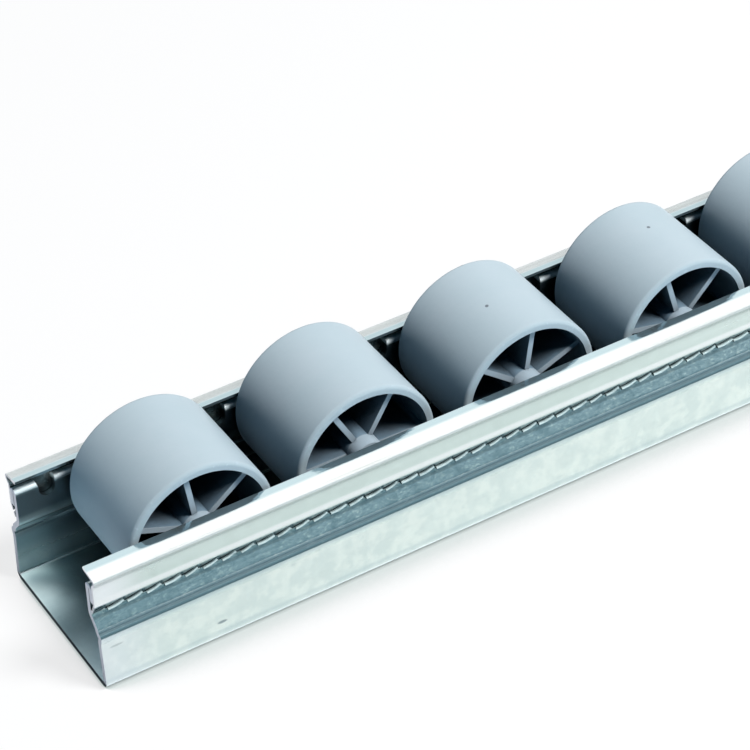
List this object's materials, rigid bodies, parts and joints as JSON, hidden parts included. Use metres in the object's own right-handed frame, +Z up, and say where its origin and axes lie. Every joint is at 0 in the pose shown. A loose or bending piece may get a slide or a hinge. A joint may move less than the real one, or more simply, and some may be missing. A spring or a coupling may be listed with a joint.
{
  "type": "flow rack roller track",
  "caption": "Steel channel with notched, hemmed edges that carries free-running ribbed plastic rollers on cross axles, held down by a crimped cap strip along each side.",
  "frame": {"origin": "on the underside of the channel, under the middle of the track's length and width", "axes": "+X along the track, +Y across it towards the left cap strip, +Z up through the rollers"},
  "size_m": [0.415, 0.0338, 0.0346],
  "materials": {
    "channel_steel": "galvanised, faintly streaked, satin",
    "cap_steel": "galvanised, satin",
    "axle_steel": "drawn steel, satin",
    "roller_plastic": "moulded, slightly scuffed, satin"
  },
  "bodies": {
    "track": {"channel": "channel_steel", "cap_strip_left": "cap_steel", "cap_strip_right": "cap_steel", "axle_01": "axle_steel", "axle_02": "axle_steel", "axle_03": "axle_steel", "axle_04": "axle_steel", "axle_05": "axle_steel", "axle_06": "axle_steel", "axle_07": "axle_steel", "axle_08": "axle_steel", "axle_09": "axle_steel", "axle_10": "axle_steel", "axle_11": "axle_steel", "axle_12": "axle_steel"},
    "roller_01": {"roller_01": "roller_plastic"},
    "roller_02": {"roller_02": "roller_plastic"},
    "roller_03": {"roller_03": "roller_plastic"},
    "roller_04": {"roller_04": "roller_plastic"},
    "roller_05": {"roller_05": "roller_plastic"},
    "roller_06": {"roller_06": "roller_plastic"},
    "roller_07": {"roller_07": "roller_plastic"},
    "roller_08": {"roller_08": "roller_plastic"},
    "roller_09": {"roller_09": "roller_plastic"},
    "roller_10": {"roller_10": "roller_plastic"},
    "roller_11": {"roller_11": "roller_plastic"},
    "roller_12": {"roller_12": "roller_plastic"}
  },
  "joints": [
    {"name": "roller_01_turn", "type": "hinge", "parent": "track", "child": "roller_01", "pos_m": [-0.1848, 0, 0.0206], "axis": [0, 1, 0], "continuous": true},
    {"name": "roller_02_turn", "type": "hinge", "parent": "track", "child": "roller_02", "pos_m": [-0.1512, 0, 0.0206], "axis": [0, 1, 0], "continuous": true},
    {"name": "roller_03_turn", "type": "hinge", "parent": "track", "child": "roller_03", "pos_m": [-0.1176, 0, 0.0206], "axis": [0, 1, 0], "continuous": true},
    {"name": "roller_04_turn", "type": "hinge", "parent": "track", "child": "roller_04", "pos_m": [-0.084, 0, 0.0206], "axis": [0, 1, 0], "continuous": true},
    {"name": "roller_05_turn", "type": "hinge", "parent": "track", "child": "roller_05", "pos_m": [-0.0504, 0, 0.0206], "axis": [0, 1, 0], "continuous": true},
    {"name": "roller_06_turn", "type": "hinge", "parent": "track", "child": "roller_06", "pos_m": [-0.0168, 0, 0.0206], "axis": [0, 1, 0], "continuous": true},
    {"name": "roller_07_turn", "type": "hinge", "parent": "track", "child": "roller_07", "pos_m": [0.0168, 0, 0.0206], "axis": [0, 1, 0], "continuous": true},
    {"name": "roller_08_turn", "type": "hinge", "parent": "track", "child": "roller_08", "pos_m": [0.0504, 0, 0.0206], "axis": [0, 1, 0], "continuous": true},
    {"name": "roller_09_turn", "type": "hinge", "parent": "track", "child": "roller_09", "pos_m": [0.084, 0, 0.0206], "axis": [0, 1, 0], "continuous": true},
    {"name": "roller_10_turn", "type": "hinge", "parent": "track", "child": "roller_10", "pos_m": [0.1176, 0, 0.0206], "axis": [0, 1, 0], "continuous": true},
    {"name": "roller_11_turn", "type": "hinge", "parent": "track", "child": "roller_11", "pos_m": [0.1512, 0, 0.0206], "axis": [0, 1, 0], "continuous": true},
    {"name": "roller_12_turn", "type": "hinge", "parent": "track", "child": "roller_12", "pos_m": [0.1848, 0, 0.0206], "axis": [0, 1, 0], "continuous": true}
  ]
}
